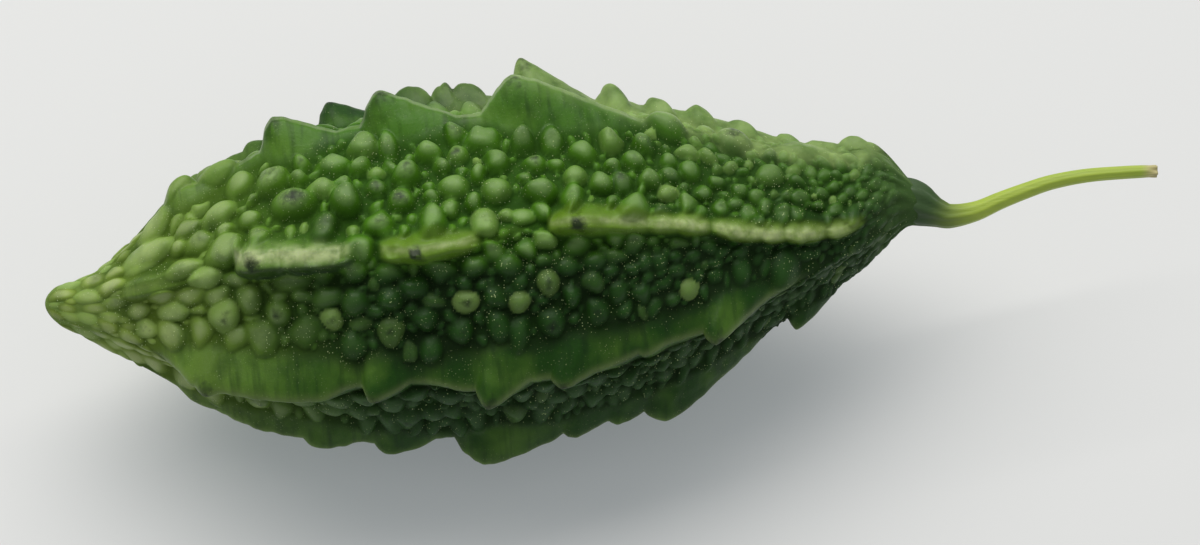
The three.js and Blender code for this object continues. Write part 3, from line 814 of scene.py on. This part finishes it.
class Nodes:
    """Short names for the shader nodes that the materials use."""

    COLOUR_A, COLOUR_B = 6, 7  # the Mix node's sockets for two colours

    def __init__(self, name):
        self.material = bpy.data.materials.new(name)
        self.material.use_nodes = True
        self.tree = self.material.node_tree
        self.shader = self.tree.nodes["Principled BSDF"]
        self.place = self.tree.nodes.new("ShaderNodeTexCoord").outputs["Object"]

    def link(self, source, socket):
        if isinstance(source, bpy.types.NodeSocket):
            self.tree.links.new(source, socket)
        else:
            socket.default_value = source

    def attribute(self, name):
        node = self.tree.nodes.new("ShaderNodeAttribute")
        node.attribute_name = name
        return node.outputs["Fac"]

    def noise(self, size, detail=2.0, stretch=None):
        node = self.tree.nodes.new("ShaderNodeTexNoise")
        node.inputs["Scale"].default_value = 1 / (size * MM)
        node.inputs["Detail"].default_value = detail
        place = self.place
        if stretch:
            mapping = self.tree.nodes.new("ShaderNodeMapping")
            mapping.inputs["Scale"].default_value = stretch
            self.link(place, mapping.inputs["Vector"])
            place = mapping.outputs["Vector"]
        self.link(place, node.inputs["Vector"])
        return node.outputs["Fac"]

    def spots(self, size):
        node = self.tree.nodes.new("ShaderNodeTexVoronoi")
        node.inputs["Scale"].default_value = 1 / (size * MM)
        self.link(self.place, node.inputs["Vector"])
        return node.outputs["Distance"], node.outputs["Color"]

    def math(self, operation, a, b):
        node = self.tree.nodes.new("ShaderNodeMath")
        node.operation = operation
        self.link(a, node.inputs[0])
        self.link(b, node.inputs[1])
        return node.outputs[0]

    def ramp(self, value, low, high, to_low=0.0, to_high=1.0):
        node = self.tree.nodes.new("ShaderNodeMapRange")
        node.inputs["From Min"].default_value = low
        node.inputs["From Max"].default_value = high
        node.inputs["To Min"].default_value = to_low
        node.inputs["To Max"].default_value = to_high
        self.link(value, node.inputs["Value"])
        return node.outputs["Result"]

    def mix(self, a, b, share):
        node = self.tree.nodes.new("ShaderNodeMix")
        node.data_type = "RGBA"
        self.link(share, node.inputs[0])
        self.link(a, node.inputs[self.COLOUR_A])
        self.link(b, node.inputs[self.COLOUR_B])
        return node.outputs[2]

    def painted(self, colour, layers):
        """A colour with layers of (colour, share) over it, the first one lowest."""
        for paint, share in layers:
            colour = self.mix(colour, rgb(*paint), share)
        return colour

    def glow_through(self, weight, radius, scale):
        """A little light passes through under the surface."""
        self.shader.inputs["Subsurface Weight"].default_value = weight
        self.shader.inputs["Subsurface Radius"].default_value = radius
        self.shader.inputs["Subsurface Scale"].default_value = scale * MM

    def bump(self, height, strength, depth):
        node = self.tree.nodes.new("ShaderNodeBump")
        node.inputs["Strength"].default_value = strength
        node.inputs["Distance"].default_value = depth * MM
        self.link(height, node.inputs["Height"])
        self.link(node.outputs["Normal"], self.shader.inputs["Normal"])


def skin_greens(n, dome, face):
    """The skin's green with painted light and shade: painted shade in the valleys, a painted sheen up the
    warts, painted light on one side, streaked on the ridges' faces.
    """
    # painted light: each part's green is paler on the lit side and towards the tip, and darker elsewhere as
    # painted shade
    painted_light = n.attribute("painted_light")
    ripe = n.ramp(n.attribute("ripe"), 0, 1, 0, 0.85)
    green = {
        part: n.mix(n.mix(rgb(*shade), rgb(*sun), painted_light), rgb(*tip), ripe)
        for part, (shade, sun, tip) in SKIN.items()
    }
    # painted shade in the valleys between the warts, and a painted sheen on the warts' tops
    colour = n.mix(green["valley"], green["wart_side"], n.ramp(dome, 0.1, 0.65))
    colour = n.mix(colour, green["wart_top_sheen"], n.ramp(dome, 0.65, 1.0, 0, 0.85))
    smooth = n.painted(green["ridge_face"], (
        (FACE_STREAK, n.ramp(n.noise(7, 3), 0.45, 0.7, 0, 0.5)),
        (FACE_CREASE, n.ramp(n.noise(1.1, 2, stretch=(1, 0.15, 0.15)), 0.5, 0.75, 0, 0.6)),
    ))
    return n.mix(colour, smooth, n.math("MULTIPLY", face, 0.9))


def pale_specks(n, face):
    """Tiny pale dots in patches, fewer on the ridges' faces."""
    specks = 0
    for size, reach, share in SPECKS:
        distance, cell = n.spots(size)
        dot = n.math("MULTIPLY", n.ramp(distance, reach, reach * 0.5), n.ramp(cell, share, share + 0.02))
        specks = n.math("MAXIMUM", specks, dot)
    specks = n.math("MULTIPLY", specks, n.ramp(n.noise(4, 3), 0.42, 0.62, 0.1, 1))
    return n.math("MULTIPLY", specks, n.ramp(face, 0, 1, 1, 0.35))


def fruit_material():
    n = Nodes("gourd_skin")
    dome, face, tone = n.attribute("dome"), n.attribute("face"), n.attribute("tone")
    patchy = n.ramp(n.noise(3, 3), 0.3, 0.7, 0.2, 0.65)
    broken = n.ramp(n.noise(1.6, 3), 0.35, 0.6, 0.3, 0.95)
    mottled = n.math("ADD", n.attribute("mark"), n.ramp(n.noise(0.9, 3), 0.3, 0.7, -0.3, 0.3))
    specks = pale_specks(n, face)
    colour = n.painted(skin_greens(n, dome, face), (
        (BLOTCH, n.ramp(n.noise(4, 3), 0.48, 0.7, 0, 0.5)),
        (PALE_TONE, n.ramp(tone, 0.2, 1.6, 0, 0.7)),
        # dark tones, and the painted shade on the block's lower side
        (DARK_TONE_AND_SHADE, n.ramp(tone, -0.2, -1.8, 0, 0.8)),
        # painted highlight along the ridges' crests
        (CREST_HIGHLIGHT, n.math("MULTIPLY", n.attribute("crest"), 0.25)),
        (YELLOW_CREST, n.math("MULTIPLY", n.attribute("yellow"), 0.75)),
        # pale painted sheen where light grazes the upper back, in patches
        (PAINTED_SHEEN, n.math("MULTIPLY", n.attribute("painted_sheen"), patchy)),
        # whitish paint on the pale ridge: partly its own paleness, partly a painted highlight
        (PALE_AND_HIGHLIGHT, n.math("MULTIPLY", n.attribute("pale"), broken)),
        (NECK, n.math("MULTIPLY", n.attribute("neck"), n.ramp(face, 0, 1, 0.75, 0.2))),
        (DARK_TIP, n.ramp(mottled, 0.3, 1.05, 0, 0.92)),
        (SPECK, specks),
    ))
    n.link(colour, n.shader.inputs["Base Color"])
    roughness = n.ramp(n.math("MAXIMUM", dome, face), 0.1, 0.8, 0.85, 0.4)
    uneven = n.ramp(n.noise(0.9, 3), 0.3, 0.7, -0.07, 0.07)
    n.link(n.math("ADD", roughness, uneven), n.shader.inputs["Roughness"])
    n.glow_through(0.15, (0.7, 1.0, 0.2), 1.0)
    n.shader.inputs["Specular IOR Level"].default_value = 0.2
    n.bump(n.math("ADD", n.noise(0.35, 3), specks), 0.35, 0.12)
    return n.material


def stalk_material():
    n = Nodes("stalk_skin")
    fibres = n.noise(0.5, 3, stretch=(0.12, 1, 1))
    green, pale = STALK_GREENS
    colour = n.painted(n.mix(rgb(*green), rgb(*pale), fibres), (
        (STALK_FOOT, n.attribute("green")),
        (DRY_END, n.attribute("dry")),
    ))
    n.link(colour, n.shader.inputs["Base Color"])
    n.link(n.ramp(fibres, 0.3, 0.7, 0.4, 0.6), n.shader.inputs["Roughness"])
    n.glow_through(0.15, (0.6, 0.8, 0.2), 0.6)
    n.bump(fibres, 0.5, 0.15)
    return n.material


# --- The stage -----------------------------------------------------------------------------------------------

FLOOR_HALF = 3.0
FLOOR_COLOUR = (192, 190, 188)
FLOOR_GLOW = (0.88, 0.96, 1.0, 1)
FLOOR_GLOW_STRENGTH = 0.2
FLOOR_ROUGHNESS = 0.6

# Each area light: name, place, size and power in metres and watts, colour. They all point at the fruit.
LIGHTS = (
    ("window", (-0.1, 0.6, 1.05), (1.8, 0.9), 17, (1.0, 0.98, 0.95)),
    ("ceiling", (0.3, 0.2, 1.4), (2.8, 2.4), 1.5, (1.0, 0.98, 0.96)),
)
LIT_PLACE = (0, 0, 0.02)
ROOM_GLOW = (0.93, 0.98, 1.0, 1)
ROOM_GLOW_STRENGTH = 0.34

CAMERA_AZIMUTH = math.radians(-6.8)
CAMERA_ELEVATION = math.radians(58)
CAMERA_AIM = 75.4  # distance from the blossom tip of the place that it looks at,
CAMERA_DROP = 3.2  # and how far that is below the tip in the view
CAMERA_DISTANCE = 0.459
CAMERA_LENS = 101
CAMERA_SENSOR = 36


def make_floor():
    mesh = bpy.data.meshes.new("floor")
    corners = [(x * FLOOR_HALF, y * FLOOR_HALF, 0) for x, y in ((-1, -1), (1, -1), (1, 1), (-1, 1))]
    mesh.from_pydata(corners, [], [(0, 1, 2, 3)])
    floor = bpy.data.objects.new("floor", mesh)
    bpy.context.scene.collection.objects.link(floor)
    n = Nodes("pale_floor")
    n.shader.inputs["Base Color"].default_value = rgb(*FLOOR_COLOUR)
    n.shader.inputs["Emission Color"].default_value = FLOOR_GLOW
    n.shader.inputs["Emission Strength"].default_value = FLOOR_GLOW_STRENGTH
    n.shader.inputs["Roughness"].default_value = FLOOR_ROUGHNESS
    mesh.materials.append(n.material)


def light_stage():
    for name, place, size, power, colour in LIGHTS:
        data = bpy.data.lights.new(name, "AREA")
        data.shape = "RECTANGLE"
        data.size, data.size_y = size
        data.energy = power
        data.color = colour
        lamp = bpy.data.objects.new(name, data)
        lamp.location = place
        lamp.rotation_euler = (Vector(LIT_PLACE) - Vector(place)).to_track_quat("-Z", "Y").to_euler()
        bpy.context.scene.collection.objects.link(lamp)
    world = bpy.data.worlds.new("soft_room")
    world.use_nodes = True
    background = world.node_tree.nodes["Background"]
    background.inputs["Color"].default_value = ROOM_GLOW
    background.inputs["Strength"].default_value = ROOM_GLOW_STRENGTH
    bpy.context.scene.world = world


def make_camera():
    """From in front and above, turned a little, with the fruit rising to the right."""
    level = Vector((math.sin(CAMERA_AZIMUTH), -math.cos(CAMERA_AZIMUTH), 0))
    back = level * math.cos(CAMERA_ELEVATION) + Vector((0, 0, math.sin(CAMERA_ELEVATION)))
    right = Vector((math.cos(CAMERA_AZIMUTH), math.sin(CAMERA_AZIMUTH), 0))
    up = back.cross(right)
    aim = TIP + Vector((CAMERA_AIM * MM, 0, 0)) - up * CAMERA_DROP * MM
    data = bpy.data.cameras.new("camera")
    data.sensor_width = CAMERA_SENSOR
    data.lens = CAMERA_LENS
    camera = bpy.data.objects.new("camera", data)
    turn = Matrix((right, up, back)).transposed()
    camera.matrix_world = Matrix.Translation(aim + back * CAMERA_DISTANCE) @ turn.to_4x4()
    bpy.context.scene.collection.objects.link(camera)
    bpy.context.scene.camera = camera


make_camera()
make_floor()
light_stage()
bpy.context.scene.view_settings.view_transform = "Standard"

fruit = make_fruit()
fruit.data.materials.append(fruit_material())
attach(fruit, "root")
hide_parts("fruit")

stalk = make_stalk()
stalk.data.materials.append(stalk_material())
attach(stalk, "root")
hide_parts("stalk")
